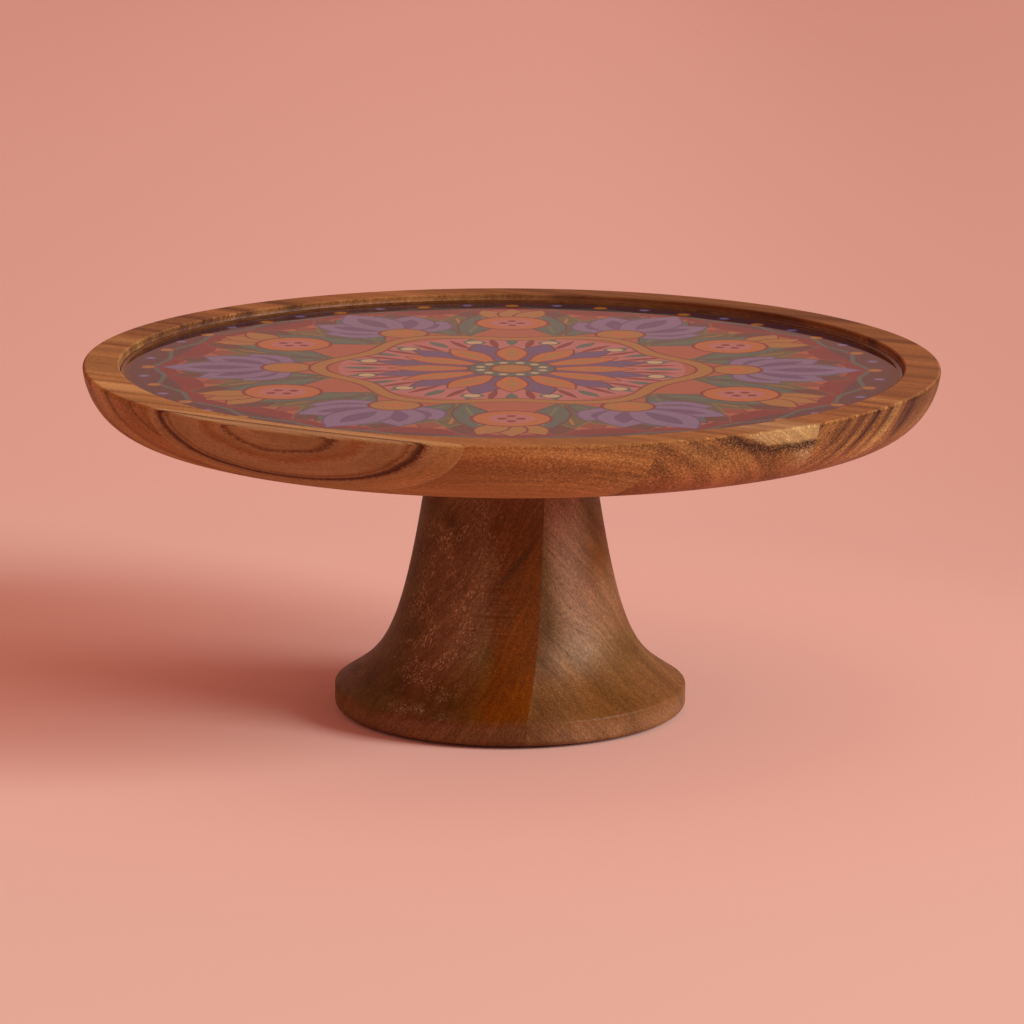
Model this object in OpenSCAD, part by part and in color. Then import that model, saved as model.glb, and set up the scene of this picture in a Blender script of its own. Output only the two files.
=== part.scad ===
// Wooden cake stand: a turned plate of edge-glued boards with a printed, clear-coated well,
// screwed onto a turned pedestal. Millimetres, +Z up, origin on the table under the centre.

/* [Overall] */
// Height from the table to the top of the rim
total_h = 127; // [105:0.5:160]

/* [Plate] */
// Outside diameter of the plate
plate_d = 305; // [250:1:360]
// Thickness of the plate, from its flat underside to the rim
plate_t = 21.5; // [20:0.5:30]
// Width of the flat rim round the well
rim_w = 13; // [8:0.5:20]
// How far the curved side reaches in under the plate
side_reach = 19.7; // [10:0.1:40]
// How far above the rim the side's curve would turn upright, which makes the side lean out
side_lift = 3; // [0:0.5:8]
// Rounding of the rim's outer corner
rim_round = 1; // [0.4:0.1:3]
// Rounding of the rim's inner lip
lip_round = 0.8; // [0.2:0.1:1]
// Depth of the well, from the rim to the clear coat
well_depth = 3; // [2.4:0.1:6]
// Radius of the cove between the well's wall and its floor
cove_r = 3.2; // [2:0.1:3.6]

/* [Plate boards] */
// Direction of the boards, counter-clockwise from +X
grain_angle = -30; // [-90:1:90]
// Share of board 1, the crescent at the front left; the shares together make the diameter
board_1_share = 13.5; // [10:0.5:25]
// Share of board 2
board_2_share = 38; // [25:0.5:45]
// Share of board 3
board_3_share = 55.5; // [40:0.5:60]
// Share of board 4
board_4_share = 32.5; // [25:0.5:42]
// Share of board 5
board_5_share = 49; // [38:0.5:55]
// Share of board 6
board_6_share = 46; // [35:0.5:55]
// Share of board 7
board_7_share = 38; // [25:0.5:45]
// Share of board 8
board_8_share = 32.5; // [20:0.5:45]

/* [Print and coat] */
// Thickness of the printed sheet on the floor of the well
print_t = 0.3; // [0.1:0.05:0.6]
// Gap between the print's edge and the foot of the cove
print_gap = 0.3; // [0.1:0.1:2]
// Thickness of the clear coat over the print
coat_t = 1.2; // [0.6:0.1:2]

/* [Pedestal] */
// Diameter of the foot
foot_d = 126.5; // [110:0.5:150]
// Height of the foot's upright band above the table
foot_band_h = 9; // [6:0.1:16]
// Rounding of the foot's lower edge
foot_base_round = 2.5; // [0.5:0.1:3.5]
// Rounding of the ridge above the band
foot_ridge_round = 1.2; // [0.3:0.1:1.5]
// Slope of the flare where it leaves the ridge, above the horizontal
flare_angle = 33; // [15:1:50]
// How far the curve holds the slope of the flare, as a share of its height
flare_hold = 0.23; // [0.1:0.01:0.3]
// Diameter of the neck where it meets the plate
neck_d = 55; // [46:0.5:70]
// Slope of the neck away from the upright
neck_angle = 8; // [2:0.1:10]
// How far the curve holds the slope of the neck, as a share of its height
neck_hold = 0.87; // [0.5:0.01:0.9]

/* [Pedestal blocks] */
// Direction across the glue lines, counter-clockwise from +X
block_angle = -10; // [-45:1:45]
// Width of block 1, the narrow piece at the foot's left edge
block_1_w = 10.5; // [6:0.5:18]
// Distance of the right-hand glue line from the axis
block_joint_x = 16.5; // [10:0.5:24]

/* [Fastening] */
// Diameter of the hanger bolt
bolt_d = 8; // [6:0.5:10]
// Length of the bolt in the pedestal
bolt_in_foot = 35; // [20:1:50]
// Length of the bolt in the plate's insert
bolt_in_plate = 10; // [6:0.5:11]
// Diameter of the threaded insert
insert_d = 12.5; // [11:0.5:15]
// Length of the threaded insert
insert_l = 12; // [8:0.5:12]
// Diameter of the insert's flange
flange_d = 17; // [16:0.5:22]
// Thickness of the insert's flange
flange_t = 1.5; // [1:0.1:3]
// Spare depth of each blind hole past what sits in it
hole_spare = 1; // [0.5:0.1:1.2]

/* [Pads] */
// Diameter of one felt pad
pad_d = 14; // [8:0.5:20]
// Thickness of the pads, which lift the wood off the table
pad_t = 1; // [0.5:0.1:3]
// Distance of the pads' centres in from the edge of the foot
pad_inset = 17.25; // [12:0.25:30]

/* [Hidden] */
BOARDS = 8;
BLOCKS = 3;
PADS = 4;
$fn = 96;

plate_r = plate_d / 2;
well_r = plate_r - rim_w;
seat_z = total_h - plate_t;
coat_top_z = total_h - well_depth;
floor_z = coat_top_z - coat_t - print_t;
floor_r = well_r - cove_r;
foot_r = foot_d / 2;
neck_r = neck_d / 2;

// Where each board starts and ends across the grain, from the front left to the back right.
board_shares = [
    board_1_share, board_2_share, board_3_share, board_4_share,
    board_5_share, board_6_share, board_7_share, board_8_share
];
function sum_to(list, n) = n == 0 ? 0 : list[n - 1] + sum_to(list, n - 1);
function board_edge(i) = plate_d * sum_to(board_shares, i) / sum_to(board_shares, BOARDS) - plate_r;

// Where each pedestal block starts and ends across its glue lines.
block_edges = [-foot_r, block_1_w - foot_r, block_joint_x, foot_r];

board_colors = ["#a0623c", "#8a5430", "#8f5632", "#6f4226", "#a06a42", "#8a5a38", "#94603a", "#9c6a44"];
block_colors = ["#5b3a2a", "#6b3a22", "#8a6038"];

// Points round an elliptical arc, leaving out the first when it repeats the last point before it.
function arc(cx, cy, rx, ry, from, to, steps, first = 0) =
    [for (i = [first:steps])
        let (a = from + (to - from) * i / steps)
        [cx + rx * cos(a), cy + ry * sin(a)]];

// Points along a cubic curve from p0 to p3 that leaves towards p1 and arrives from p2.
function cubic(p0, p1, p2, p3, steps, first = 0) =
    [for (i = [first:steps])
        let (t = i / steps, s = 1 - t)
        s * s * s * p0 + 3 * s * s * t * p1 + 3 * s * t * t * p2 + t * t * t * p3];

// The plate's side is an ellipse with these half axes, cut off where it meets the rim's corner.
side_h = plate_t - rim_round + side_lift;
side_end = asin(side_lift / side_h);
side_w = side_reach / cos(side_end);
side_arc = arc(
    plate_r - side_reach, total_h - rim_round + side_lift, side_w, side_h, -90, -side_end, 24
);
cove_arc = arc(floor_r, floor_z + cove_r, cove_r, cove_r, 0, -90, 8);

// Half section of the plate: flat underside, elliptical side, rim, and the coved well.
plate_outline = concat(
    [[0, seat_z]],
    side_arc,
    arc(plate_r - rim_round, total_h - rim_round, rim_round, rim_round, 0, 90, 6, 1),
    arc(well_r + lip_round, total_h - lip_round, lip_round, lip_round, 90, 180, 4),
    cove_arc,
    [[0, floor_z]]
);

// Half section of the pedestal: flat sole, upright band, ridge, then one curve up to the neck.
base_z = pad_t;
ridge_end = 90 - flare_angle;
flare_start = [
    foot_r - foot_ridge_round * (1 - cos(ridge_end)),
    foot_band_h + foot_ridge_round * sin(ridge_end)
];
neck_end = [neck_r, seat_z];
curve_h = neck_end.y - flare_start.y;
pedestal_outline = concat(
    [[0, base_z]],
    arc(foot_r - foot_base_round, base_z + foot_base_round, foot_base_round, foot_base_round, -90, 0, 6),
    arc(foot_r - foot_ridge_round, foot_band_h, foot_ridge_round, foot_ridge_round, 0, ridge_end, 5),
    cubic(
        flare_start,
        flare_start + flare_hold * curve_h * [-cos(flare_angle), sin(flare_angle)],
        neck_end + neck_hold * curve_h * [sin(neck_angle), -cos(neck_angle)],
        neck_end, 32, 1
    ),
    [[0, seat_z]]
);

// A slab of everything between two distances from the axis, measured along the direction angle.
module slab(angle, from, to) {
    reach = plate_r + 10;
    rotate([0, 0, angle])
        translate([from, -reach, -1])
            cube([to - from, 2 * reach, total_h + 2]);
}

// Hole for the insert and its flange, open to the plate's underside.
module insert_hole() {
    translate([0, 0, seat_z - 1])
        cylinder(d = insert_d, h = insert_l + hole_spare + 1);
    translate([0, 0, seat_z - 1])
        cylinder(d = flange_d, h = flange_t + 1);
}

module turned_plate() {
    difference() {
        rotate_extrude() polygon(plate_outline);
        insert_hole();
    }
}

// One board of the plate: the turned plate between two glue lines.
module plate_board(i) {
    color(board_colors[i - 1])
        intersection() {
            turned_plate();
            slab(grain_angle + 90, board_edge(i - 1), board_edge(i));
        }
}

// The well's hollow, up to the top of its cove.
module well_space() {
    rotate_extrude() polygon(concat([[0, floor_z + cove_r]], cove_arc, [[0, floor_z]]));
}

module print_disc() {
    translate([0, 0, floor_z])
        cylinder(r = floor_r - print_gap, h = print_t);
}

module printed_pattern() {
    color("#c4704e") print_disc();
}

// Clear coat poured over the print, running up the cove and round the print's edge.
module clear_coat() {
    color("#d8b8ac", 0.4)
        difference() {
            intersection() {
                well_space();
                translate([0, 0, floor_z])
                    cylinder(r = well_r + 1, h = print_t + coat_t);
            }
            print_disc();
        }
}

module threaded_insert() {
    color("#c9a24a")
        difference() {
            union() {
                translate([0, 0, seat_z])
                    cylinder(d = insert_d, h = insert_l);
                translate([0, 0, seat_z])
                    cylinder(d = flange_d, h = flange_t);
            }
            translate([0, 0, seat_z - 1])
                cylinder(d = bolt_d, h = insert_l + 2);
        }
}

module hanger_bolt() {
    color("#b8bcc0")
        translate([0, 0, seat_z - bolt_in_foot])
            cylinder(d = bolt_d, h = bolt_in_foot + bolt_in_plate);
}

module turned_pedestal() {
    difference() {
        rotate_extrude() polygon(pedestal_outline);
        translate([0, 0, seat_z - bolt_in_foot - hole_spare])
            cylinder(d = bolt_d, h = bolt_in_foot + hole_spare + 1);
    }
}

// One block of the pedestal: the turned pedestal between two glue lines.
module pedestal_block(i) {
    color(block_colors[i - 1])
        intersection() {
            turned_pedestal();
            slab(block_angle, block_edges[i - 1], block_edges[i]);
        }
}

module foot_pad(i) {
    color("#3a2c24")
        rotate([0, 0, 45 + 360 * (i - 1) / PADS])
            translate([foot_r - pad_inset, 0, 0])
                cylinder(d = pad_d, h = pad_t);
}

for (i = [1:BOARDS])
    plate_board(i);
printed_pattern();
clear_coat();
threaded_insert();
hanger_bolt();
for (i = [1:BLOCKS])
    pedestal_block(i);
for (i = [1:PADS])
    foot_pad(i);
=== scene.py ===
"""Dresses the wooden cake stand: its boards, the printed disc under a clear coat, and the studio."""

import math

import bmesh
import bpy
from bpy.props import FloatProperty, FloatVectorProperty, PointerProperty
from mathutils import Euler, Matrix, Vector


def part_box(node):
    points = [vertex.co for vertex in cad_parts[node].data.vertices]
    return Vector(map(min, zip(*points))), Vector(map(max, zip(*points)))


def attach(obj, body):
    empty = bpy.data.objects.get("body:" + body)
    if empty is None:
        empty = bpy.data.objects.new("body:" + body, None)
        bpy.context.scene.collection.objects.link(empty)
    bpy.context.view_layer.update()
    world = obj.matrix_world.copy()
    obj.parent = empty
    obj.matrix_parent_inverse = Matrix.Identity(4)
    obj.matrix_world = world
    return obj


bl_info = {
    "name": "Turned Cake Stand",
    "version": (1, 0, 0),
    "blender": (4, 5, 0),
    "location": "3D Viewport > Sidebar > Cake Stand",
    "description": "Finishes the turned cake stand: wood, print, clear coat, felt pads and a plain studio",
    "category": "Object",
}

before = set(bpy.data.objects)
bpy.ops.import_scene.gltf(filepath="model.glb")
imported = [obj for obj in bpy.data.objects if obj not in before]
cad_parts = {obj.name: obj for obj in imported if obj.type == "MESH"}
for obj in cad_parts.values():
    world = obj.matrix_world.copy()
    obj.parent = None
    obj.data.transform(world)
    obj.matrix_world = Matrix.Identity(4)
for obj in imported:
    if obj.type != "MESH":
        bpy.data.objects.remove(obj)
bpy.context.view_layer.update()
MM = 0.001

RIM_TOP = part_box("plate_board_3")[1].z
COAT_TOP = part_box("clear_coat")[1].z
COAT_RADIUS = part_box("clear_coat")[1].x
PRINT_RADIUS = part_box("printed_pattern")[1].x
# Height of the rim in millimetres, as the wood's own coordinates have it.
TOP = RIM_TOP / MM
# Angles that turn the object's axes along the plate's boards and across the pedestal's glue lines.
BOARD_TURN = math.radians(30)
BLOCK_TURN = math.radians(10)
# Farther out than any wood: a glue line there never shows.
BEYOND = 400.0


def tone(code):
    """Linear colour of a hex code such as a08060."""
    parts = [int(code[i : i + 2], 16) / 255 for i in (0, 2, 4)]
    return [p / 12.92 if p <= 0.04045 else ((p + 0.055) / 1.055) ** 2.4 for p in parts]


def tinted(colour, factors):
    """A colour with each of its parts multiplied."""
    return [part * factor for part, factor in zip(colour, factors)]


def size_property(label, text, value):
    """A length property, in metres."""
    return FloatProperty(name=label, description=text, default=value, min=0.0, unit="LENGTH", precision=4)


def colour_property(label, text, code):
    """A colour property with a hex default."""
    return FloatVectorProperty(
        name=label, description=text, default=tone(code), subtype="COLOR", size=3, min=0.0, max=1.0
    )


# ---------------------------------------------------------------- settings


class CakeStandWood(bpy.types.PropertyGroup):
    """Colours of the plate's and the pedestal's wood."""

    sap: colour_property("Sapwood", "Pale straw wood next to the bark", "9c7345")
    tan: colour_property("Tan", "Light wood of the plate", "9a6a3a")
    fawn: colour_property("Fawn", "Greyer light wood of the front crescent", "8f6640")
    gold: colour_property("Gold", "Golden wood of the plate", "8c592d")
    heart: colour_property("Heartwood", "Main brown of the plate boards", "844f27")
    red: colour_property("Red brown", "Redder wood low on the plate's side", "8b4f2a")
    brown: colour_property("Brown", "Darker growth bands", "734420")
    umber: colour_property("Umber", "Dark growth bands", "5c3118")
    line: colour_property("Dark line", "Thin, nearly black growth lines", "3e1c0a")
    # Wood seen through the clear coat past the print, darkened further as painted shade at the foot of the
    # well's wall.
    wet_wood_and_shade: colour_property("Wet wood", "Dark wood seen through the clear coat past the print", "56300f")
    foot_dark: colour_property("Foot dark", "Dark wood of the pedestal's left block", "5a3b12")
    foot_red: colour_property("Foot red", "Red brown of the pedestal", "602801")
    foot_gold: colour_property("Foot gold", "Golden brown low on the pedestal", "6a3c17")
    # Grey brown of the pedestal's wood, also painted as light over the top of the blocks, where the plate
    # shades them.
    foot_grey: colour_property("Foot grey", "Grey brown of the pedestal's right block", "7d5236")
    foot_night: colour_property("Foot night", "Darkest streaks of the pedestal", "381d0a")
    foot_deep: colour_property("Foot deep", "Deep brown bands of the pedestal", "4a2a10")
    # Partly warmer, lighter wood and partly a painted highlight: the key light's sheen on the pedestal's
    # right block.
    foot_rose_and_highlight: colour_property("Foot rose", "Warm light zone of the pedestal's right block", "8b5a3d")
    # Painted reflection: the pink backdrop seen in the sheen of the pedestal's right block, on its outer
    # side.
    foot_backdrop_reflection: colour_property("Foot warm", "Reddish outer side of the pedestal's right block", "6e3a1e")
    # Pale flecks and scratches of the pedestal's wood, also used as a painted highlight low on its right
    # block.
    foot_pale_and_highlight: colour_property("Foot pale", "Pale flecks of the pedestal", "a5805a")


class CakeStandPrint(bpy.types.PropertyGroup):
    """Colours of the printed disc."""

    coral: colour_property("Coral", "Ground of the print", "9a5236")
    pink: colour_property("Pink", "Inner ground", "a6645a")
    plum: colour_property("Plum", "Dark ground and outlines", "40282c")
    burgundy: colour_property("Burgundy", "Dark red", "6a1f20")
    mustard: colour_property("Mustard", "Yellow of the garland", "96692c")
    orange: colour_property("Orange", "Fruit and flower tips", "a8602c")
    lavender: colour_property("Lavender", "Light petals", "6e6378")
    violet: colour_property("Violet", "Dark petals", "4b4462")
    teal: colour_property("Teal", "Cool leaves", "2d5a4b")
    sage: colour_property("Sage", "Pale leaves", "5f6b3c")
    rust: colour_property("Rust", "Dull red between the leaves", "7c3e2c")
    bark: colour_property("Bark", "Brown scales near the border", "4b3029")
    olive: colour_property("Olive", "Broad leaves behind the flowers", "4a5030")
    cream: colour_property("Cream", "Dots", "b59a6c")


class CakeStandSizes(bpy.types.PropertyGroup):
    """Sizes of the small pieces modelled here."""

    coat_climb: size_property("Coat climb", "How far the clear coat creeps up the well's wall", 0.0006)
    coat_creep: size_property("Coat creep", "Width of the coat's raised edge", 0.0014)


class CakeStandStudio(bpy.types.PropertyGroup):
    """Floor colour and light levels."""

    floor: colour_property("Floor", "Colour of the floor and backdrop", "d3a896")
    key: FloatProperty(
        name="Key light", description="Power of the large light at the right",
        default=975.0, min=0.0, unit="POWER",
    )
    sky: FloatProperty(
        name="Fill", description="Strength of the even light from all round", default=0.77, min=0.0
    )


# ---------------------------------------------------------------- node helpers


class Bench:
    """A node tree being filled: short calls that add a node and hand back its output."""

    def __init__(self, tree):
        self.tree = tree

    def node(self, kind, **settings):
        made = self.tree.nodes.new(kind)
        for key, value in settings.items():
            setattr(made, key, value)
        return made

    def feed(self, socket, value):
        if isinstance(value, Field):
            value = value.socket
        if isinstance(value, bpy.types.NodeSocket):
            self.tree.links.new(value, socket)
        elif hasattr(value, "__len__") and socket.type == "RGBA":
            socket.default_value = [*value[:3], 1.0]
        else:
            socket.default_value = value

    def put(self, made, **values):
        """Feeds a node's inputs by name, with _ for a space."""
        for key, value in values.items():
            self.feed(made.inputs[key.replace("_", " ")], value)

    def math(self, operation, *values):
        made = self.node("ShaderNodeMath", operation=operation)
        for socket, value in zip(made.inputs, values):
            self.feed(socket, value)
        return Field(self, made.outputs[0])

    def vector(self, x, y, z):
        made = self.node("ShaderNodeCombineXYZ")
        for socket, value in zip(made.inputs, (x, y, z)):
            self.feed(socket, value)
        return made.outputs[0]

    def split(self, socket):
        made = self.node("ShaderNodeSeparateXYZ")
        self.feed(made.inputs[0], socket)
        return [Field(self, out) for out in made.outputs]

    def place(self):
        """Object coordinates, in metres."""
        return self.split(self.node("ShaderNodeTexCoord").outputs["Object"])

    def noise(self, x, y, z, detail=2.0, roughness=0.5, distortion=0.0):
        place = self.vector(x, y, z)
        made = self.node("ShaderNodeTexNoise", noise_dimensions="3D")
        self.put(made, Vector=place, Scale=1.0, Detail=detail, Roughness=roughness, Distortion=distortion)
        return Field(self, made.outputs["Fac"])

    def step(self, value, low, high, smooth=True):
        kind = "SMOOTHSTEP" if smooth else "LINEAR"
        made = self.node("ShaderNodeMapRange", interpolation_type=kind, clamp=True)
        self.put(made, Value=value, From_Min=low, From_Max=high)
        return Field(self, made.outputs["Result"])

    def mix(self, factor, first, second, blend="MIX"):
        made = self.node("ShaderNodeMix", data_type="RGBA", blend_type=blend, clamp_factor=True)
        self.feed(made.inputs[0], factor)
        self.feed(made.inputs[6], first)
        self.feed(made.inputs[7], second)
        return made.outputs[2]

    def ramp(self, value, stops):
        made = self.node("ShaderNodeValToRGB")
        bar = made.color_ramp
        while len(bar.elements) < len(stops):
            bar.elements.new(0.5)
        low, high = stops[0][0], stops[-1][0]
        for element, (place, colour) in zip(bar.elements, stops):
            element.position = (place - low) / (high - low)
            element.color = [*colour[:3], 1.0]
        share = self.step(value, low, high, smooth=False)
        self.feed(made.inputs[0], share)
        return made.outputs[0]

    def group(self, tree, **values):
        """Every output of a placed group, by name."""
        made = self.node("ShaderNodeGroup", node_tree=tree)
        self.put(made, **values)
        return {out.name: Field(self, out) for out in made.outputs}

    def relief(self, shader, height, strength, distance):
        bump = self.node("ShaderNodeBump")
        self.put(bump, Height=height, Strength=strength, Distance=distance)
        self.tree.links.new(bump.outputs[0], shader.inputs["Normal"])


class Field:
    """A number that varies over a surface; arithmetic on it lays Math nodes."""

    def __init__(self, bench, socket):
        self.bench = bench
        self.socket = socket

    def __add__(self, other):
        return self.bench.math("ADD", self, other)

    def __radd__(self, other):
        return self.bench.math("ADD", other, self)

    def __sub__(self, other):
        return self.bench.math("SUBTRACT", self, other)

    def __rsub__(self, other):
        return self.bench.math("SUBTRACT", other, self)

    def __mul__(self, other):
        return self.bench.math("MULTIPLY", self, other)

    def __rmul__(self, other):
        return self.bench.math("MULTIPLY", other, self)

    def __truediv__(self, other):
        return self.bench.math("DIVIDE", self, other)

    def abs(self):
        return self.bench.math("ABSOLUTE", self)

    def low(self, other):
        return self.bench.math("MINIMUM", self, other)

    def high(self, other):
        return self.bench.math("MAXIMUM", self, other)


def shader_group(name, inputs, outputs):
    """A new node group, with None as the default of a vector; returns its bench, input fields and output."""
    tree = bpy.data.node_groups.new(name, "ShaderNodeTree")
    for label, value in inputs.items():
        kind = "NodeSocketVector" if value is None else "NodeSocketFloat"
        socket = tree.interface.new_socket(label, in_out="INPUT", socket_type=kind)
        if value is not None:
            socket.default_value = value
    for label in outputs:
        tree.interface.new_socket(label, in_out="OUTPUT", socket_type="NodeSocketFloat")
    bench = Bench(tree)
    source = bench.node("NodeGroupInput")
    target = bench.node("NodeGroupOutput")
    fields = {label: Field(bench, source.outputs[label]) for label in inputs}
    return bench, fields, target


def new_material(name):
    """An empty material with a Principled shader; returns it, its bench and the shader."""
    material = bpy.data.materials.new(name)
    material.use_nodes = True
    material.node_tree.nodes.clear()
    bench = Bench(material.node_tree)
    shader = bench.node("ShaderNodeBsdfPrincipled")
    output = bench.node("ShaderNodeOutputMaterial")
    bench.tree.links.new(shader.outputs[0], output.inputs["Surface"])
    return material, bench, shader


# ---------------------------------------------------------------- wood groups


def build_ring_group():
    """Where a point lies among the growth rings: a plank's rings lean, curl and crown across the board."""
    bench, given, out = shader_group(
        "growth_rings",
        dict(
            Grain=None, Across=1.0, Lean=0.0, Curl=0.0, Crown=0.0, Centre=0.0, Bow=0.0, Wander=1.0, Seed=0.0
        ),
        ["Ring"],
    )
    along, across, up = bench.split(given["Grain"])
    down = TOP - up
    off = across - given["Centre"]
    drift = along - 20.0
    ring = across * given["Across"] + down * given["Lean"] + down * down * given["Curl"]
    ring = ring + off * off * given["Crown"] + drift * drift * given["Bow"]
    sway = bench.noise(along * 0.014 + given["Seed"], across * 0.035, up * 0.06, detail=2.0)
    fret = bench.noise(along * 0.09 + given["Seed"], across * 0.22, up * 0.3, detail=2.0)
    ring = ring + (sway - 0.5) * given["Wander"] * 2.0 + (fret - 0.5) * given["Wander"] * 0.5
    bench.feed(out.inputs["Ring"], ring)
    return bench.tree


def build_grain_group():
    """Fine grain that follows the rings, and how far the surface opens towards the end grain."""
    bench, given, out = shader_group(
        "fine_grain",
        dict(Grain=None, Ring=0.0, Seed=0.0, Facing=0.0),
        ["Lines", "Streaks", "Pores", "Flecks", "Cloud", "Stipple", "Open", "End"],
    )
    along, across, up = bench.split(given["Grain"])
    seed = given["Seed"]
    ring = given["Ring"]
    facing = given["Facing"].abs()
    lines = bench.noise(along * 0.012 + seed, ring * 0.75, up * 0.1, detail=4.0, roughness=0.75)
    streaks = bench.noise(along * 0.007 + seed, ring * 0.2, up * 0.05, detail=3.0, roughness=0.6)
    pores = bench.noise(along * 0.25 + seed, across * 1.7, up * 1.7, detail=1.0)
    flecks = bench.noise(along * 0.6 - seed, across * 1.4, up * 1.4, detail=1.0, roughness=0.6)
    cloud = bench.noise(along * 0.018 + seed, across * 0.05, up * 0.09, detail=3.0, roughness=0.55)
    stipple = bench.noise(along * 0.9 + seed, across * 1.75, up * 1.75, detail=2.0, roughness=0.7)
    bench.put(
        out,
        Lines=bench.step(lines, 0.34, 0.66),
        Streaks=bench.step(streaks, 0.3, 0.7),
        Pores=bench.step(pores, 0.56, 0.66),
        Flecks=bench.step(flecks, 0.58, 0.68),
        Cloud=bench.step(cloud, 0.3, 0.7),
        Stipple=bench.step(stipple, 0.40, 0.66),
        Open=bench.step(facing, 0.25, 0.62),
        End=bench.step(facing, 0.6, 1.0, smooth=False),
    )
    return bench.tree


def build_turning_group():
    """Faint rings that the lathe and the sandpaper left round the piece."""
    bench, given, out = shader_group(
        "turning_marks", dict(Point=None), ["Marks", "Tone"]
    )
    x, y, z = bench.split(given["Point"])
    reach = bench.math("SQRT", x * x + y * y)
    groove = bench.noise(reach * 1.6, 0.0, z * 1.6, detail=3.0, roughness=0.7)
    broken = bench.noise(x * 0.03, y * 0.03, z * 0.5, detail=2.0)
    bench.feed(out.inputs["Marks"], bench.step(groove, 0.3, 0.7) * broken)
    bench.feed(out.inputs["Tone"], bench.step(groove, 0.25, 0.75))
    return bench.tree


def build_joint_group():
    """Thin dark glue lines at a board's two long edges."""
    bench, given, out = shader_group(
        "glue_lines", {"Across": 0.0, "First Edge": 0.0, "Last Edge": 0.0, "Width": 0.3}, ["Line"]
    )
    near = (given["Across"] - given["First Edge"]).low(given["Last Edge"] - given["Across"])
    line = 1.0 - bench.step(near, 0.0, given["Width"])
    bench.feed(out.inputs["Line"], line)
    return bench.tree


GROUPS = {}


def wood_groups():
    """The shared wood groups, built once."""
    if not GROUPS:
        GROUPS["rings"] = build_ring_group()
        GROUPS["grain"] = build_grain_group()
        GROUPS["turning"] = build_turning_group()
        GROUPS["joints"] = build_joint_group()
    return GROUPS


def smooth_shading(piece):
    """Welds a turned piece's facets and shades it smooth across its curves, crisp at its corners."""
    weld = piece.modifiers.new("weld", "WELD")
    weld.merge_threshold = 0.000002
    split = piece.modifiers.new("corners", "EDGE_SPLIT")
    split.split_angle = math.radians(26)
    split.use_edge_sharp = False
    normals = piece.modifiers.new("normals", "WEIGHTED_NORMAL")
    normals.keep_sharp = True
    normals.weight = 50


def board_span(name):
    """First and last distance of a board across the grain, in millimetres."""
    turn = Matrix.Rotation(BOARD_TURN, 3, "Z")
    rows = [(turn @ v.co).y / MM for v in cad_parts[name].data.vertices]
    return min(rows), max(rows)


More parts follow.
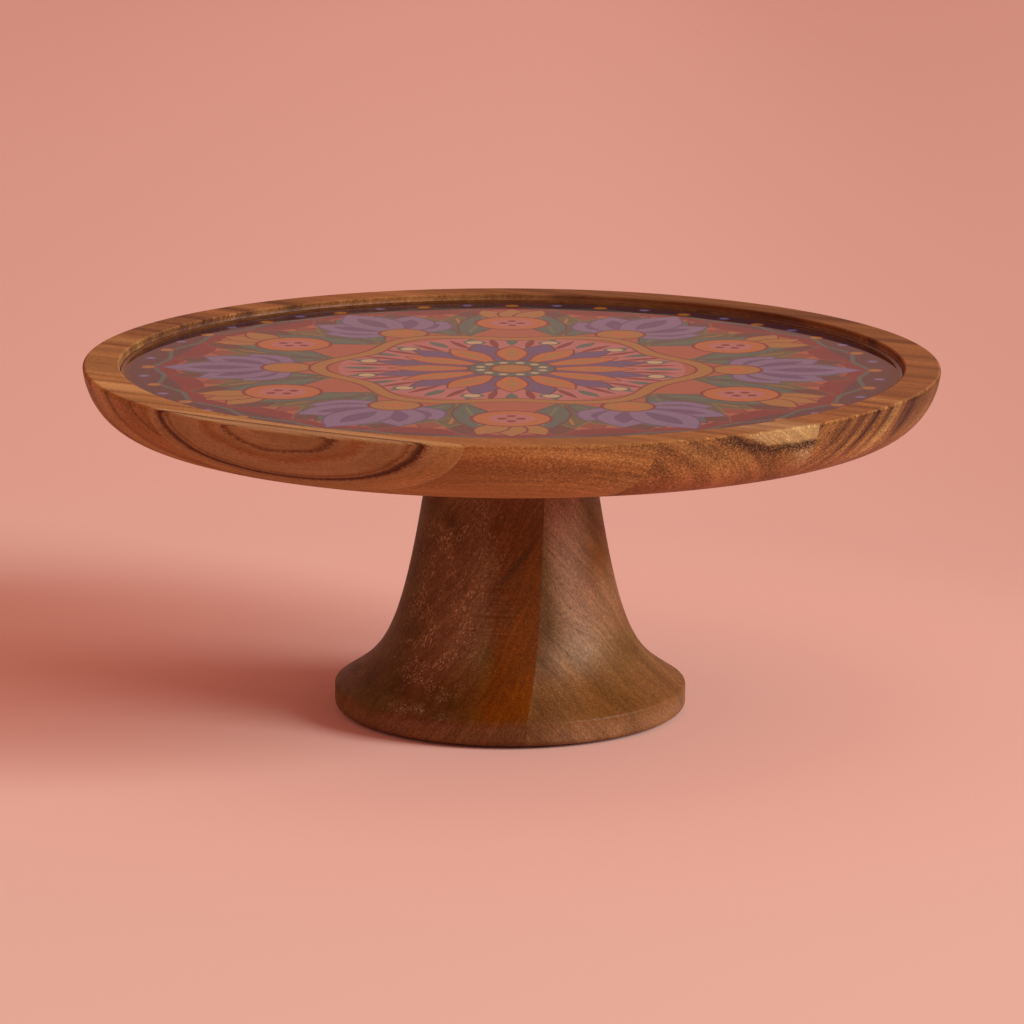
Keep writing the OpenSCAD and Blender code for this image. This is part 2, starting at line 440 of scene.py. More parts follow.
# Growth bands of each board: distance across the grain at the rim's top, in millimetres, and the wood
# there. "near" is the end at the front right, "far" the end at the back left, "low" the wood at the
# foot of the near side.
BACK_GRAIN = dict(lines=0.4, streaks=0.3, cloud=0.2, stipple=0.5, pores=0.3, flecks=0.3, ragged=0.8)
BOARDS = {
    1: dict(
        near=(
            "-156 fawn, -152.0 fawn, -151.6 umber, -151.3 fawn, -150.2 heart, -149.4 fawn, "
            "-146.8 fawn, -146.2 brown, -145.9 fawn, -145.5 umber, -145.0 line, -144.7 brown, "
            "-144.1 fawn, -142 tan, -138 fawn"
        ),
        rings=dict(Across=1.0, Bow=-0.0006, Wander=1.05, Seed=3.0),
        lines=0.6, streaks=0.3, cloud=0.2, stipple=0.7, pores=0.4, flecks=0.3, ragged=0.25, lift=0.1,
    ),
    2: dict(
        near=(
            "-132 heart, -130.5 gold, -128.5 heart, -124 gold, -121 brown, -119.5 heart, -115 heart, "
            "-113 brown, -110 heart"
        ),
        near_rings=dict(Across=0.0, Lean=-1.0, Crown=0.005, Centre=-130.0, Wander=1.6, Seed=9.5),
        far=(
            "-140 gold, -136 gold, -134.0 gold, -133.4 umber, -132.8 gold, -126 gold, -123 gold, "
            "-122.2 brown, -121.4 gold, -118 tan, -111 tan, -108 gold, -106.5 brown, -105 gold, "
            "-101 gold"
        ),
        rings=dict(Across=1.0, Lean=0.25, Curl=0.03, Wander=0.9, Seed=9.0),
        low="tan", lift=0.1,
        lines=0.45, streaks=0.4, cloud=0.2, stipple=0.7, pores=0.35, flecks=0.45, ragged=0.6,
    ),
    3: dict(
        near=(
            "-111 brown, -106 heart, -102 heart, -97 gold, -93 gold, -86 heart, -82.5 gold, "
            "-80 brown, -78 brown, -76.5 heart, -73 brown, -71.5 heart, -69 gold, -64 fawn, "
            "-52 fawn, -47 gold, -45 heart"
        ),
        near_rings=dict(Across=1.0, Lean=-1.35, Curl=0.012, Crown=0.0, Wander=1.6, Seed=17.5),
        far="-101 heart, -98 gold, -60 gold, -52 gold, -48 brown, -46 heart",
        rings=dict(Across=1.0, Lean=0.3, Wander=1.6, Seed=17.0),
        low="red", lines=0.45, streaks=0.4, cloud=0.25, stipple=0.8, pores=0.5, flecks=0.6, ragged=0.8,
    ),
    4: dict(
        near=(
            "-46 heart, -41 heart, -38.5 gold, -34 heart, -31.5 brown, -29.5 umber, -28 heart, "
            "-26.3 gold, -24.5 heart, -22.3 umber, -20.5 umber, -17.6 gold, -15.8 brown, -14 umber, "
            "-12.8 line, -11.6 umber, -9.8 heart, -8 gold, -5.8 heart, -4.2 umber, -2.8 brown, "
            "0 tan, 3.2 tan, 6 heart, 7.6 heart, 9.6 umber, 12 umber, 15 line, 19 umber, 25 brown, "
            "32 brown, 42 heart"
        ),
        near_rings=dict(Across=1.0, Lean=0.97, Wander=0.4, Seed=29.5),
        far=(
            "-46 heart, -43 gold, -40 tan, -36 gold, -31 heart, -28 brown, -20 brown, -17 umber, "
            "-14 brown, -6 brown, -4.5 heart, -1.6 umber, 1 brown, 9 brown, 12.4 umber, 18 brown, "
            "26 heart, 31 heart, 35.5 umber, 38 brown"
        ),
        rings=dict(Across=1.0, Lean=0.6, Wander=0.8, Seed=29.0),
        calm=0.6, low="red", lift=0.12,
        lines=0.95, streaks=0.2, cloud=0.15, stipple=0.9, pores=0.6, flecks=0.6, ragged=0.3,
    ),
    5: dict(same=4),
    6: dict(
        BACK_GRAIN,
        near=(
            "35 brown, 40 heart, 46 brown, 56 heart, 63 brown, 74 heart, 80 brown, 83.5 umber, "
            "85 brown"
        ),
        near_rings=dict(Across=1.0, Lean=0.6, Wander=0.9, Seed=37.5),
        far=(
            "35 umber, 39 brown, 44 gold, 49 heart, 53 brown, 56.5 umber, 60 brown, 66 heart, "
            "83 heart"
        ),
        rings=dict(Across=1.0, Lean=0.6, Wander=0.9, Seed=37.0),
        low="heart",
    ),
    7: dict(
        BACK_GRAIN,
        near=(
            "81 brown, 85 brown, 92 heart, 99 heart, 103 brown, 105.5 umber, 108 umber, 112 brown, "
            "121 brown"
        ),
        near_rings=dict(Across=1.0, Lean=0.4, Wander=0.9, Seed=43.5),
        far="81 heart, 104 heart, 112 brown, 121 brown",
        rings=dict(Across=1.0, Lean=0.4, Wander=0.9, Seed=43.0),
        low="heart",
    ),
    8: dict(
        BACK_GRAIN,
        near="119 brown, 128 brown, 131 umber, 137 umber, 139 brown, 142 umber, 144 brown, 153 brown",
        near_rings=dict(Across=1.0, Lean=0.3, Wander=1.2, Seed=51.5),
        far="119 brown, 126 brown, 132 umber, 134.5 brown, 139 brown, 141 umber, 143 brown, 153 brown",
        rings=dict(Across=1.0, Lean=0.3, Wander=1.2, Seed=51.0),
        low="brown", stipple=0.4,
    ),
}


def bands(text, colours):
    """Colour stops from a list such as "-101 gold, -93 heart"."""
    pairs = [part.split() for part in text.split(", ")]
    return [(float(place), getattr(colours, name)) for place, name in pairs]


def finish_wood(bench, shader, colour, grain, plan, turning, joint, dull=0.0):
    """Common end of a wood material: grain over the colour, end grain, glue lines, sheen and relief."""
    cut = 0.35 + grain["Open"] * 0.65
    shade = (grain["Lines"] - 0.5) * plan["lines"] * cut + (grain["Streaks"] - 0.5) * plan["streaks"]
    shade = shade + plan.get("lift", 0.05) + (grain["Cloud"] - 0.5) * plan["cloud"]
    shade = shade + (grain["Stipple"] - 0.5) * plan["stipple"] * cut
    shade = shade - grain["Pores"] * plan["pores"] * cut + grain["Flecks"] * plan["flecks"] * cut
    deep = bench.mix(1.0, colour, (0.24, 0.205, 0.175), "MULTIPLY")
    light = bench.mix(1.0, colour, (2.1, 2.3, 2.6), "MULTIPLY")
    colour = bench.mix((shade * -0.9).high(0.0), colour, deep)
    colour = bench.mix(shade.high(0.0) * 0.9, colour, light)
    colour = bench.mix(grain["End"], colour, bench.mix(1.0, colour, (0.60, 0.50, 0.42), "MULTIPLY"))
    colour = bench.mix(joint * 0.18, colour, bench.mix(1.0, colour, (0.22, 0.16, 0.13), "MULTIPLY"))
    rough = plan.get("rough", 0.5) + dull * 0.42 + grain["Pores"] * 0.12
    rough = rough + (1.0 - grain["Streaks"]) * 0.05 + turning["Tone"] * 0.05
    gloss = plan.get("gloss", 0.2)
    bench.put(shader, Base_Color=colour, Roughness=rough, Specular_IOR_Level=gloss)
    height = turning["Marks"] * 0.25 - grain["Pores"] * 0.5 + grain["Lines"] * 0.1 - joint * 0.4
    bench.relief(shader, height, 0.2, 0.0004)


def wood_point(bench, turn):
    """Object coordinates in millimetres, turned about the upright axis, and the surface's normal."""
    place = bench.node("ShaderNodeTexCoord")
    mapping = bench.node("ShaderNodeMapping", vector_type="POINT")
    bench.tree.links.new(place.outputs["Object"], mapping.inputs["Vector"])
    mapping.inputs["Rotation"].default_value = (0.0, 0.0, turn)
    mapping.inputs["Scale"].default_value = (1 / MM, 1 / MM, 1 / MM)
    return mapping.outputs[0], place.outputs["Normal"]


def facing(bench, normal, direction):
    """How squarely the surface faces a direction, from 0 to 1."""
    made = bench.node("ShaderNodeVectorMath", operation="DOT_PRODUCT")
    bench.feed(made.inputs[0], normal)
    made.inputs[1].default_value = direction
    return Field(bench, made.outputs["Value"]).abs()


# Where a board's looks change, in millimetres: along it, from the far end to the near one and to the
# near tip; up the plate's side; onto the dull rim; and onto the rim's flat top.
NEAR_END = (-45.0, 45.0)
NEAR_TIP = (40.0, 90.0)
SIDE_FOOT = (109.0, 121.0)
SIDE_TOP = (112.0, 123.0)
RIM_DULL = (125.2, 125.8)
RIM_FLAT = (126.2, 126.9)


def board_material(number, colours):
    """Wood of one plate board, with its own rings, bands and glue lines."""
    groups = wood_groups()
    plan = BOARDS[number]
    plan = BOARDS[plan["same"]] if "same" in plan else plan
    material, bench, shader = new_material(f"plate_wood_{number}")
    point, normal = wood_point(bench, BOARD_TURN)
    along, across, up = bench.split(point)
    grain_way = (math.cos(BOARD_TURN), -math.sin(BOARD_TURN), 0.0)
    cut = facing(bench, normal, grain_way)
    ring = bench.group(groups["rings"], Grain=point, **plan["rings"])["Ring"]
    near_end = bench.step(along, *NEAR_END)
    flow = ring
    if "far" in plan:
        other = bench.group(groups["rings"], Grain=point, **plan["near_rings"])["Ring"]
        flow = ring + (other - ring) * near_end
    grain = bench.group(groups["grain"], Grain=point, Ring=flow, Seed=plan["rings"]["Seed"], Facing=cut)
    turning = bench.group(groups["turning"], Point=point)
    ragged = (grain["Stipple"] - 0.5) * plan["ragged"]
    grain["End"] = grain["End"] * bench.step(up, *SIDE_TOP)
    low, high = board_span(f"plate_board_{number}")
    low = low if number > 1 else -BEYOND
    high = high if number < len(BOARDS) else BEYOND
    joint = bench.group(groups["joints"], Across=across, First_Edge=low, Last_Edge=high)
    if "far" in plan:
        lift = -TOP if number == 2 else 0.0
        near = bench.ramp(other + ragged + lift, bands(plan["near"], colours))
        drift = (grain["Cloud"] - 0.5) * 5.0
        foot = 1.0 - bench.step(up + drift, *SIDE_FOOT)
        near = bench.mix(foot * 0.7, near, getattr(colours, plan["low"]))
        far = bench.ramp(ring + ragged, bands(plan["far"], colours))
        colour = bench.mix(near_end, far, near)
        flat = bench.step(up, *RIM_FLAT)
        colour = bench.mix(flat * near_end * plan.get("calm", 0.2), colour, colours.heart)
    else:
        colour = bench.ramp(ring + ragged, bands(plan["near"], colours))
    if number == 3:
        # sapwood at the top of the near side, with dark mottled wood under it
        down = TOP - up
        left = ((down - 1.3).high(0.0) * 3.2 - 75.0 - across) * 0.2
        below = down - 4.5 - (across + 65.0) * 0.044
        bark = bench.math("MAXIMUM", below, left) + (grain["Cloud"] - 0.5) * 0.8
        bark = bark + (grain["Stipple"] - 0.5) * 0.9
        tip = bench.step(along, *NEAR_TIP)
        mottle = bench.step(bark, -0.1, 0.4) * (1.0 - bench.step(bark, 1.6, 4.2)) * tip
        mottle = mottle * bench.step(across, -88.0, -79.0)
        colour = bench.mix(mottle * (1.0 - flat) * (1.0 - grain["Stipple"] * 0.8), colour, colours.line)
        sap = (1.0 - bench.step(bark, -0.6, 0.5)) * tip
        colour = bench.mix(sap * (1.0 - flat * 0.8), colour, colours.sap)
        grain["End"] = grain["End"] * (1.0 - sap * 0.6)
        grain["Stipple"] = grain["Stipple"] * (1.0 - sap * 0.45) + sap * 0.36
        grain["Pores"] = grain["Pores"] * (1.0 - sap * 0.8)
    dull = bench.step(up, *RIM_DULL)
    finish_wood(bench, shader, colour, grain, plan, turning, joint["Line"], dull)
    return material


def paint(name, material):
    """Puts a material on one of the frame's pieces, and returns the piece."""
    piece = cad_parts[name]
    piece.material_slots[0].material = material
    return piece


class CAKESTAND_OT_plate_boards(bpy.types.Operator):
    """Give each board of the plate its own piece of wood"""

    bl_idname = "cakestand.plate_boards"
    bl_label = "Plate boards"

    def execute(self, context):
        colours = context.scene.cake_stand_wood
        for number in BOARDS:
            smooth_shading(paint(f"plate_board_{number}", board_material(number, colours)))
        return {"FINISHED"}


def zone(bench, across, up, place, size, tilt=0.0, soft=0.5):
    """A soft oval zone on the pedestal, from its place and half sizes across and up, in millimetres."""
    c, k = math.cos(math.radians(tilt)), math.sin(math.radians(tilt))
    dx, dz = across - place[0], up - place[1]
    u = (dx * c + dz * k) / size[0]
    v = (dz * c - dx * k) / size[1]
    return 1.0 - bench.step(bench.math("SQRT", u * u + v * v), 1.0 - soft, 1.0 + soft)


# Glue planes of the pedestal across its blocks, in millimetres, and the lean and seed of each grain.
BLOCK_EDGES = (-BEYOND, -52.75, 16.5, BEYOND)
BLOCK_GRAIN = {1: (0.45, 5.0), 2: (0.75, 13.0), 3: (-0.95, 23.0)}
BLOCK_PLAN = dict(lines=0.35, streaks=0.3, cloud=0.3, stipple=0.55, pores=0.25, flecks=0.3, rough=0.42)


def block_material(number, colours):
    """Wood of one pedestal block, darker than the plate, with its grain standing up and leaning."""
    groups = wood_groups()
    material, bench, shader = new_material(f"pedestal_wood_{number}")
    point = wood_point(bench, BLOCK_TURN)[0]
    across, deep, up = bench.split(point)
    lean, seed = BLOCK_GRAIN[number]
    size = math.hypot(1.0, lean)
    along = (up + across * lean) / size
    side = (across - up * lean) / size
    grain_vector = bench.vector(along, side, deep)
    wobble = bench.noise(up * 0.02 + seed, across * 0.03, deep * 0.03, detail=2.0)
    ring = side + deep * 0.35 + (wobble - 0.5) * 14.0
    grain = bench.group(groups["grain"], Grain=grain_vector, Ring=ring, Seed=seed, Facing=0.5)
    turning = bench.group(groups["turning"], Point=point)
    drift = (wobble - 0.5) * 24.0 + (grain["Stipple"] - 0.5) * 2.0
    low, high = BLOCK_EDGES[number - 1 : number + 1]
    joint = bench.group(groups["joints"], Across=across, First_Edge=low, Last_Edge=high, Width=0.35)
    plan = dict(BLOCK_PLAN, gloss=0.09 if number == 3 else 0.07)

    def patch(amount, place, size, name, tilt=0.0, soft=0.6):
        nonlocal colour
        mask = zone(bench, across + drift * 0.12, up + drift * 0.2, place, size, tilt, soft)
        colour = bench.mix(mask * amount, colour, getattr(colours, name))

    if number == 3:
        stops = (
            "-66 foot_gold, -44 foot_grey, -30 foot_gold, -16 foot_grey, "
            "-4 foot_gold, 8 foot_grey, 24 foot_gold, 44 foot_dark"
        )
        colour = bench.ramp(ring + drift * 0.4, bands(stops, colours))
        patch(0.7, (33, 64), (4.5, 24), "foot_red", tilt=-8, soft=0.7)
        patch(0.6, (41, 46), (9, 16), "foot_red", tilt=-12, soft=0.7)
        patch(0.7, (19, 30), (4, 20), "foot_deep", tilt=4, soft=0.7)
        # painted highlight: the warm pale zone stands partly for the key light's sheen on this block
        patch(0.95, (23, 76), (6, 27), "foot_rose_and_highlight", tilt=6, soft=0.7)
        patch(0.65, (33, 42), (7, 13), "foot_rose_and_highlight", tilt=20, soft=0.8)
        # painted highlight: a soft pale sheen low on the right block
        patch(0.2, (28, 27), (8, 8), "foot_pale_and_highlight", soft=0.8)
        # painted reflection of the pink backdrop on the outer side of the block
        patch(0.75, (62, 48), (16, 60), "foot_backdrop_reflection", soft=0.6)
        patch(0.35, (50, 22), (8, 10), "foot_deep", tilt=40, soft=0.8)
        patch(0.7, (44, 14), (40, 9), "foot_gold")
        patch(0.4, (24, 12), (7, 4), "foot_deep", soft=0.7)
    else:
        stops = (
            "-80 foot_dark, -50 foot_dark, -44 foot_deep, -38 foot_dark, "
            "-24 foot_dark, -18 foot_deep, -12 foot_dark, 30 foot_dark"
        )
        colour = bench.ramp(ring + drift * 0.3, bands(stops, colours))
        patch(0.6, (-12, 50), (13, 40), "foot_grey", tilt=-10, soft=0.7)
        patch(0.7, (-10, 18), (14, 7), "foot_gold", soft=0.8)
        warm = bench.step(across + drift * 0.3, -4.0, 3.0)
        colour = bench.mix(warm * 0.9, colour, colours.foot_red)
        patch(0.6, (-2, 12), (26, 8), "foot_red")
        patch(0.5, (8, 78), (9, 15), "foot_gold", soft=0.8)
        patch(0.55, (8, 60), (1.2, 11), "foot_night", tilt=-38, soft=0.7)
        patch(0.5, (-14, 13), (10, 5), "foot_night", soft=0.8)
        patch(0.5, (-18, 76), (3, 12), "foot_night", tilt=30, soft=0.8)
        pale = zone(bench, across, up, (-17, 48), (13, 44), tilt=-14, soft=0.7)
        clump = bench.noise(across * 0.16, up * 0.12, deep * 0.16, detail=2.0)
        clump = bench.step(clump, 0.42, 0.6)
        dash = bench.noise(across * 1.9 - up * 0.5, up * 0.75, deep * 1.9, detail=1.0)
        colour = bench.mix(bench.step(dash, 0.53, 0.64) * clump * pale * 0.85, colour, colours.foot_pale_and_highlight)
        scratch = turning["Marks"] * zone(bench, across, up, (-8, 50), (16, 22), soft=0.6)
        colour = bench.mix(scratch * 0.3, colour, colours.foot_pale_and_highlight)
    # painted light: the top of each block, in the plate's shade, is lightened with grey
    patch(0.6, (0, 92), (90, 13), "foot_grey", soft=0.6)
    patch(0.45, (0, 4), (90, 5), "foot_grey", soft=0.4)
    patch(0.5, (18, 4), (17, 6), "foot_deep", soft=0.6)
    finish_wood(bench, shader, colour, grain, plan, turning, joint["Line"])
    return material


class CAKESTAND_OT_pedestal(bpy.types.Operator):
    """Give each block of the pedestal its own darker wood"""

    bl_idname = "cakestand.pedestal"
    bl_label = "Pedestal"

    def execute(self, context):
        colours = context.scene.cake_stand_wood
        for number in (1, 2, 3):
            smooth_shading(paint(f"pedestal_block_{number}", block_material(number, colours)))
        return {"FINISHED"}


# ---------------------------------------------------------------- print


def petal(bench, x, y, start, end, width, lean=1.0):
    """Signed measure of a pointed petal along X, negative inside, in millimetres."""
    share = ((x - start) / (end - start)).high(0.0).low(1.0)
    bulge = bench.math("SINE", bench.math("POWER", share, lean) * math.pi)
    return y.abs() - bulge * width + (x - end).high(0.0) + (start - x).high(0.0)


def turned(x, y, cx, cy, degrees):
    """Coordinates seen from (cx, cy) along a direction."""
    c, s = math.cos(math.radians(degrees)), math.sin(math.radians(degrees))
    dx, dy = x - cx, y - cy
    return dx * c + dy * s, dy * c - dx * s


def disc(bench, x, y, cx, cy, radius):
    """Signed measure of a disc, negative inside, in millimetres."""
    dx, dy = x - cx, y - cy
    return bench.math("SQRT", dx * dx + dy * dy) - radius


def print_colour(bench, inks):
    """The printed medallion: flowers and fruit in turn round a rosette, with leaves, garland and dots."""
    x, y = (part * (1 / MM) for part in bench.place()[:2])
    reach = bench.math("SQRT", x * x + y * y)
    angle = bench.math("ARCTAN2", y, x)

    def fold(count, offset=0.0):
        sector = 2 * math.pi / count
        local = bench.math("FLOORED_MODULO", angle + (sector / 2 + offset), sector) - sector / 2
        return reach * bench.math("COSINE", local), reach * bench.math("SINE", local)

    def fill(colour, shape, ink):
        return bench.mix(1.0 - bench.step(shape, -0.25, 0.25), colour, ink)

    def outlined(colour, shape, ink, rim, width):
        return fill(fill(colour, shape - width, rim), shape, ink)

    wave12 = bench.math("COSINE", angle * 12.0)
    wave6 = bench.math("COSINE", angle * 6.0)
    colour = bench.mix(bench.step(reach, 61.5, 62.0), inks.pink, inks.coral)
    colour = bench.mix(bench.step(reach - wave12 * 4.0, 116.0, 116.5), colour, inks.burgundy)
    colour = bench.mix(bench.step(reach - wave12 * 2.5, 123.5, 124.0), colour, inks.plum)

    fx, fy = fold(6)
    gx, gy = fold(6, math.pi / 6)
    hx, hy = fold(12, math.pi / 12)
    tx, ty = fold(24)
    # scales before the border, broad leaves and thin rays
    sx, sy = fold(24, math.pi / 24)
    colour = outlined(colour, petal(bench, tx, ty, 92.0, 114.0, 5.4, 0.8), inks.rust, inks.burgundy, 0.9)
    colour = outlined(colour, petal(bench, sx, sy, 98.0, 121.0, 6.8, 0.9), inks.bark, inks.rust, 1.0)
    for side in (1, -1):
        lx, ly = turned(hx, hy * side, 64.0, 0.0, 9.0)
        colour = outlined(colour, petal(bench, lx, ly, 0.0, 46.0, 8.5, 1.0), inks.olive, inks.sage, 0.8)
        colour = fill(colour, ly.abs() - 0.6 + (lx - 40.0).high(0.0) + (6.0 - lx).high(0.0), inks.mustard)
    colour = fill(colour, petal(bench, sx, sy, 40.0, 60.0, 1.5), inks.burgundy)
    colour = fill(colour, petal(bench, tx, ty, 46.0, 61.0, 2.2), inks.teal)
    # leaves between the flowers
    for side in (1, -1):
        lx, ly = turned(hx, hy * side, 70.0, 2.0, 24.0)
        colour = outlined(colour, petal(bench, lx, ly, 0.0, 50.0, 6.5, 0.8), inks.teal, inks.plum, 0.8)
        colour = fill(colour, ly.abs() - 0.5 + (lx - 44.0).high(0.0) + (4.0 - lx).high(0.0), inks.sage)
    # lotus flowers at six places
    for degrees, length, width in ((58, 30, 8), (-58, 30, 8), (32, 38, 9), (-32, 38, 9), (0, 46, 10)):
        px, py = turned(fx, fy, 78.0, 0.0, degrees)
        shape = petal(bench, px, py, 0.0, length, width, 1.25)
        colour = outlined(colour, shape, inks.lavender, inks.violet, 1.1)
        colour = fill(colour, shape + width * 0.62, inks.violet)
    colour = outlined(colour, disc(bench, fx, fy, 80.0, 0.0, 8.5), inks.mustard, inks.burgundy, 1.2)
    colour = fill(colour, disc(bench, fx, fy, 80.0, 0.0, 4.0), inks.orange)
    # round fruit at the six places between
    for degrees in (26, 0, -26):
        px, py = turned(gx, gy, 96.0, 0.0, degrees)
        colour = outlined(colour, petal(bench, px, py, 0.0, 26.0, 5.0, 1.3), inks.mustard, inks.burgundy, 0.9)
    colour = outlined(colour, disc(bench, gx, gy, 92.0, 0.0, 13.0), inks.orange, inks.burgundy, 1.2)
    colour = fill(colour, disc(bench, gx, gy, 92.0, 0.0, 8.0), inks.pink)
    seeds = bench.math("SQRT", (gy.abs() - 3.2) * (gy.abs() - 3.2) + (gx - 92.0) * (gx - 92.0)) - 1.7
    colour = fill(colour, seeds, inks.burgundy)
    pair = disc(bench, gx, gy, 96.5, 0.0, 1.7).low(disc(bench, gx, gy, 87.5, 0.0, 1.7))
    colour = fill(colour, pair, inks.burgundy)
    # garland, rosette and dots
    colour = outlined(colour, (reach - 64.0 - wave6 * 5.0).abs() - 2.6, inks.mustard, inks.burgundy, 1.0)
    colour = outlined(colour, disc(bench, hx, hy, 53.0, 0.0, 3.0), inks.cream, inks.teal, 1.2)
    px, py = fold(12, math.pi / 12)
    colour = outlined(colour, petal(bench, px, py, 12.0, 50.0, 5.6, 1.4), inks.violet, inks.plum, 0.8)
    px, py = fold(12)
    shape = petal(bench, px, py, 10.0, 44.0, 5.4, 1.3)
    colour = outlined(colour, shape, inks.orange, inks.burgundy, 0.9)
    colour = fill(colour, shape + 3.2, inks.mustard)
    colour = outlined(colour, reach - 15.0, inks.teal, inks.plum, 1.0)
    colour = fill(colour, disc(bench, hx, hy, 11.5, 0.0, 1.6), inks.cream)
    colour = outlined(colour, reach - 7.0, inks.mustard, inks.burgundy, 1.2)
    colour = fill(colour, (reach - 125.5 - bench.math("COSINE", angle * 24.0) * 1.6).abs() - 0.8, inks.teal)
    colour = outlined(colour, disc(bench, tx, ty, 129.5, 0.0, 2.4), inks.mustard, inks.burgundy, 0.8)
    colour = outlined(colour, disc(bench, sx, sy, 131.0, 0.0, 1.6), inks.lavender, inks.violet, 0.7)
    weave = bench.noise(x * 1.1, y * 1.1, 0.0, detail=2.0)
    shade = bench.ramp(weave, [(0.25, (0.72, 0.72, 0.79)), (0.75, (0.80, 0.80, 0.87))])
    return bench.mix(1.0, colour, shade, "MULTIPLY"), reach, x, y


class CAKESTAND_OT_print(bpy.types.Operator):
    """Print the medallion and lay the clear coat over it"""

    bl_idname = "cakestand.print"
    bl_label = "Print and clear coat"

    def execute(self, context):
        inks = context.scene.cake_stand_print
        wood = context.scene.cake_stand_wood
        material, bench, shader = new_material("printed_sheet")
        bench.put(shader, Base_Color=print_colour(bench, inks)[0], Roughness=0.55)
        paint("printed_pattern", material)

        material, bench, shader = new_material("print_under_gloss")
        colour, reach, x, y = print_colour(bench, inks)
        edge = bench.step(reach, PRINT_RADIUS / MM - 0.3, PRINT_RADIUS / MM + 0.1)
        # painted shade: the wood under the coat at the foot of the wall is darkened towards black
        cove_wood_and_shade = bench.ramp(bench.noise(x * 0.2, y * 0.2, 0.0, detail=3.0), [(0.3, wood.line), (0.7, wood.wet_wood_and_shade)])
        bench.put(shader, Base_Color=bench.mix(edge, colour, cove_wood_and_shade), Roughness=0.35, IOR=1.5)
        bench.put(shader, Specular_IOR_Level=0.0, Coat_Weight=0.55, Coat_Roughness=0.03, Coat_IOR=1.5)
        smooth_shading(paint("clear_coat", material))
        return {"FINISHED"}


def placed(context, name, data):
    """A new object of the scene."""
    thing = bpy.data.objects.new(name, data)
    context.scene.collection.objects.link(thing)
    return thing


def finished(context, name, work, material):
    """A smooth-shaded object of the scene, from a bmesh."""
    bmesh.ops.recalc_face_normals(work, faces=work.faces)
    mesh = bpy.data.meshes.new(name)
    work.to_mesh(mesh)
    work.free()
    for face in mesh.polygons:
        face.use_smooth = True
    mesh.materials.append(material)
    return placed(context, name, mesh)


# The coat's raised edge, in metres: it stands this far over the coat's face and reaches this far under
# it; its curve has this many steps, and its height grows with this power of the way out.
EDGE_LIFT, EDGE_DEPTH = 0.00002, 0.0001
EDGE_STEPS, EDGE_POWER = 6, 2.4
TURN_STEPS = 192


class CAKESTAND_OT_coat_edge(bpy.types.Operator):
    """Model the coat's raised edge, where it creeps up the well's wall"""

    bl_idname = "cakestand.coat_edge"
    bl_label = "Coat edge"

    def execute(self, context):
        sizes = context.scene.cake_stand_sizes
        work = bmesh.new()
        inner = COAT_RADIUS - sizes.coat_creep
        points = []
        for i in range(EDGE_STEPS + 1):
            share = i / EDGE_STEPS
            height = COAT_TOP + EDGE_LIFT + sizes.coat_climb * share**EDGE_POWER
            points.append((inner + sizes.coat_creep * share, 0.0, height))
        points.append((COAT_RADIUS, 0.0, COAT_TOP - EDGE_DEPTH))
        points.append((inner, 0.0, COAT_TOP - EDGE_DEPTH))
        verts = [work.verts.new(p) for p in points]
        edges = [work.edges.new((verts[i], verts[(i + 1) % len(verts)])) for i in range(len(verts))]
        bmesh.ops.spin(
            work, geom=verts + edges, cent=(0, 0, 0), axis=(0, 0, 1),
            angle=2 * math.pi, steps=TURN_STEPS, use_merge=True, use_duplicate=False,
        )
        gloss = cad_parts["clear_coat"].material_slots[0].material
        piece = finished(context, "coat_edge", work, gloss)
        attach(piece, "root")
        return {"FINISHED"}


# ---------------------------------------------------------------- fixings and pads


class CAKESTAND_OT_fixings(bpy.types.Operator):
    """Finish the brass insert and the steel bolt"""

    bl_idname = "cakestand.fixings"
    bl_label = "Insert and bolt"

    def execute(self, context):
        for name, code, rough in (("threaded_insert", "c8a050", 0.32), ("hanger_bolt", "b4b8bc", 0.28)):
            material, bench, shader = new_material(f"{name}_metal")
            x, y, z = bench.place()
            scuff = bench.noise(x * 900, y * 900, z * 2600, detail=3.0)
            metal = bench.ramp(scuff, [(0.3, tinted(tone(code), (0.7, 0.7, 0.7))), (0.7, tone(code))])
            bench.put(shader, Base_Color=metal, Roughness=rough + (scuff - 0.5) * 0.3, Metallic=1.0)
            paint(name, material)
        return {"FINISHED"}


class CAKESTAND_OT_pads(bpy.types.Operator):
    """Finish the felt pads under the foot"""

    bl_idname = "cakestand.pads"
    bl_label = "Felt pads"

    def execute(self, context):
        material, bench, shader = new_material("pad_felt")
        x, y, z = bench.place()
        fluff = bench.noise(x * 900, y * 900, z * 900, detail=4.0, roughness=0.7, distortion=1.2)
        felt = bench.ramp(fluff, [(0.3, tone("2a1d16")), (0.7, tone("5a463a"))])
        bench.put(shader, Base_Color=felt, Roughness=0.95, Sheen_Weight=0.3)
        bench.relief(shader, fluff, 1.0, 0.0006)
        for number in range(1, 5):
            paint(f"foot_pad_{number}", material)
        return {"FINISHED"}


# ---------------------------------------------------------------- stage


# The floor runs from FRONT to BACK, bends up with the radius BEND and goes on as a wall; in metres.
SIDE, FRONT, BACK, BEND, WALL, BEND_STEPS = 3.2, -3.6, 2.6, 1.0, 2.0, 32
LAMP_PLACE = (7.0, -2.36, 3.41)
LAMP_SIZE = 4.0
LAMP_COLOUR = (0.76, 1.0, 1.065)
AIR_COLOUR = (1.0, 0.53, 0.455, 1.0)
CAMERA_PLACE = (0.000337, -1.79858, 0.46151)
CAMERA_DOWN = 12.229
CAMERA_ROLL = 0.289
CAMERA_LENS = 180.426
CAMERA_REACH = 50.0


def only(geometry, kind):
    """The vertices or the edges among a bmesh operator's results."""
    return [part for part in geometry if isinstance(part, kind)]


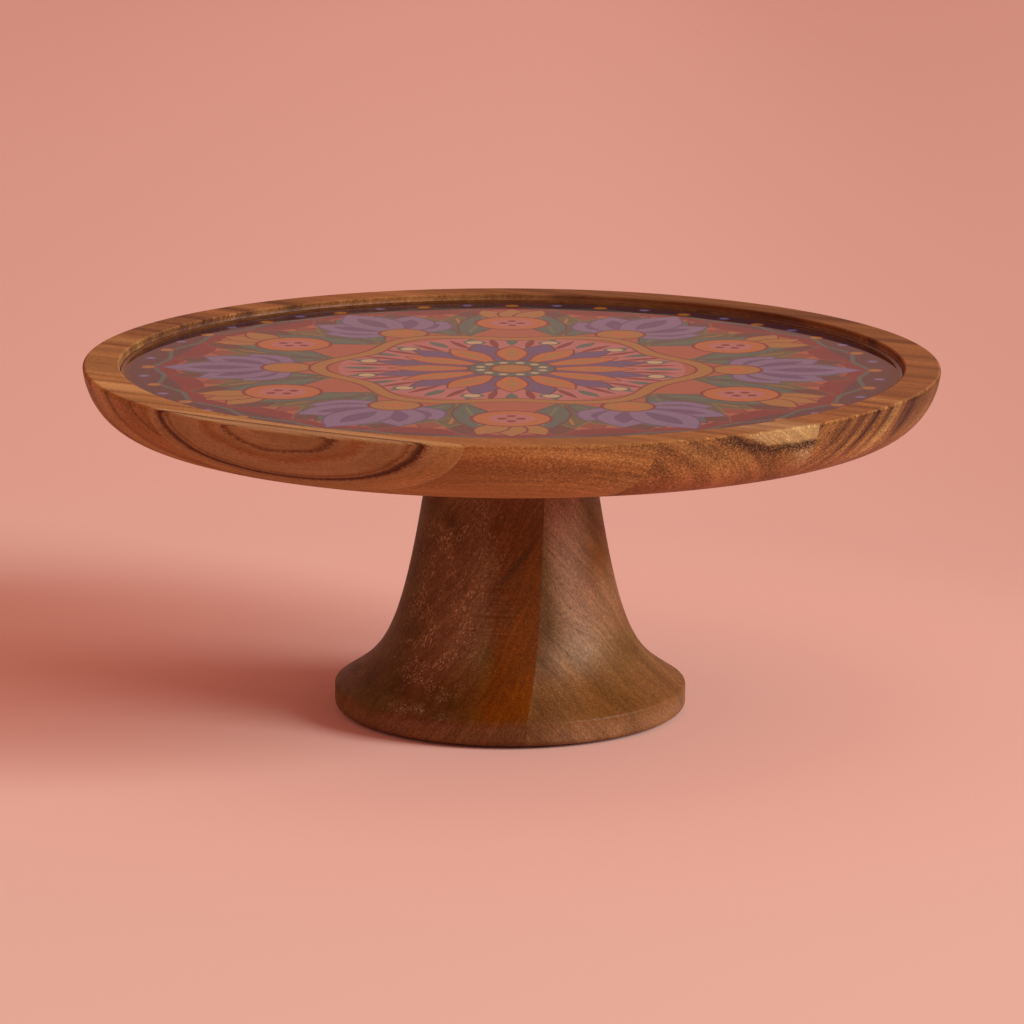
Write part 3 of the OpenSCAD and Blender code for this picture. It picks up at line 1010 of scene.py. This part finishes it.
class CAKESTAND_OT_stage(bpy.types.Operator):
    """Set up the floor with its curved backdrop, the lights and the camera"""

    bl_idname = "cakestand.stage"
    bl_label = "Studio"

    def execute(self, context):
        studio = context.scene.cake_stand_studio
        work = bmesh.new()
        vert, line = bmesh.types.BMVert, bmesh.types.BMEdge
        edge = work.edges.new((work.verts.new((-SIDE, FRONT, 0.0)), work.verts.new((SIDE, FRONT, 0.0))))
        first = bmesh.ops.extrude_edge_only(work, edges=[edge])["geom"]
        front = only(first, vert)
        bmesh.ops.translate(work, verts=front, vec=(0, BACK - FRONT, 0))
        swept = bmesh.ops.spin(
            work, geom=front + only(first, line), cent=(0, BACK, BEND),
            axis=(1, 0, 0), angle=math.pi / 2, steps=BEND_STEPS,
        )["geom_last"]
        more = bmesh.ops.extrude_edge_only(work, edges=only(swept, line))["geom"]
        bmesh.ops.translate(work, verts=only(more, vert), vec=(0, 0, WALL))
        material, bench, shader = new_material("studio_paper")
        x, y, z = bench.place()
        mottle = bench.noise(x * 1.2, y * 1.2, z * 1.2, detail=2.0)
        floor = list(studio.floor)
        paper = bench.ramp(mottle, [(0.3, tinted(floor, (0.985, 0.985, 0.985))), (0.7, floor)])
        # painted shade: the paper darkens towards the back, and more at the sides there, where the lamp's
        # light falls off
        back = bench.step(y, -0.15, 0.45)
        sides = bench.step(x, 0.0, 0.30) + bench.step(x * -1.0, 0.05, 0.40) * 0.4
        paper = bench.mix(back, paper, tinted(floor, (0.965, 0.885, 0.90)))
        paper = bench.mix(back * sides, paper, tinted(floor, (0.86, 0.75, 0.745)))
        # painted light: the floor turns warmer and redder round the stand, standing for bounce light in the
        # plate's shade
        under = 1.0 - bench.step(bench.math("SQRT", x * x + y * y), 0.06, 0.34)
        paper = bench.mix(under, paper, tinted(floor, (1.17, 0.99, 0.985)))
        bench.put(shader, Base_Color=paper, Roughness=0.9, Specular_IOR_Level=0.2)
        sweep = finished(context, "studio_sweep", work, material)

        world = bpy.data.worlds.new("studio_air")
        world.use_nodes = True
        air = world.node_tree.nodes["Background"]
        air.inputs["Color"].default_value = AIR_COLOUR
        air.inputs["Strength"].default_value = studio.sky
        context.scene.world = world

        key = bpy.data.lights.new("key_light", "AREA")
        key.shape = "DISK"
        key.size = LAMP_SIZE
        key.energy = studio.key
        key.color = LAMP_COLOUR
        lamp = placed(context, "key_light", key)
        lamp.location = LAMP_PLACE
        lamp.rotation_euler = (-lamp.location).to_track_quat("-Z", "Y").to_euler()

        camera = bpy.data.cameras.new("view")
        camera.lens = CAMERA_LENS
        camera.sensor_width = 36.0
        camera.clip_end = CAMERA_REACH
        view = placed(context, "view", camera)
        pitch = Euler((math.radians(90 - CAMERA_DOWN), 0, 0)).to_matrix().to_4x4()
        roll = Matrix.Rotation(math.radians(CAMERA_ROLL), 4, "Z")
        view.matrix_world = Matrix.Translation(CAMERA_PLACE) @ (pitch @ roll)
        context.scene.camera = view
        context.scene.view_settings.view_transform = "Standard"
        return {"FINISHED"}


SETTINGS = {
    "cake_stand_wood": CakeStandWood,
    "cake_stand_print": CakeStandPrint,
    "cake_stand_sizes": CakeStandSizes,
    "cake_stand_studio": CakeStandStudio,
}

OPERATORS = (
    CAKESTAND_OT_stage,
    CAKESTAND_OT_plate_boards,
    CAKESTAND_OT_print,
    CAKESTAND_OT_coat_edge,
    CAKESTAND_OT_pedestal,
    CAKESTAND_OT_fixings,
    CAKESTAND_OT_pads,
)


class CAKESTAND_PT_panel(bpy.types.Panel):
    """Lists the cake stand's pieces and settings"""

    bl_label = "Cake Stand"
    bl_idname = "CAKESTAND_PT_panel"
    bl_space_type = "VIEW_3D"
    bl_region_type = "UI"
    bl_category = "Cake Stand"

    def draw(self, context):
        column = self.layout.column()
        for place in SETTINGS:
            settings = getattr(context.scene, place)
            for name in settings.bl_rna.properties.keys():
                if name not in ("rna_type", "name"):
                    column.prop(settings, name)
        for operator in OPERATORS:
            column.operator(operator.bl_idname)


CLASSES = (*SETTINGS.values(), *OPERATORS, CAKESTAND_PT_panel)


def register():
    for cls in CLASSES:
        bpy.utils.register_class(cls)
    for place, settings in SETTINGS.items():
        setattr(bpy.types.Scene, place, PointerProperty(type=settings))


def unregister():
    for place in reversed(SETTINGS):
        delattr(bpy.types.Scene, place)
    for cls in reversed(CLASSES):
        bpy.utils.unregister_class(cls)


def main():
    """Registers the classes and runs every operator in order."""
    register()
    bpy.ops.cakestand.stage()
    bpy.ops.cakestand.plate_boards()
    bpy.ops.cakestand.print()
    bpy.ops.cakestand.coat_edge()
    bpy.ops.cakestand.pedestal()
    bpy.ops.cakestand.fixings()
    bpy.ops.cakestand.pads()


if __name__ == "__main__":
    main()
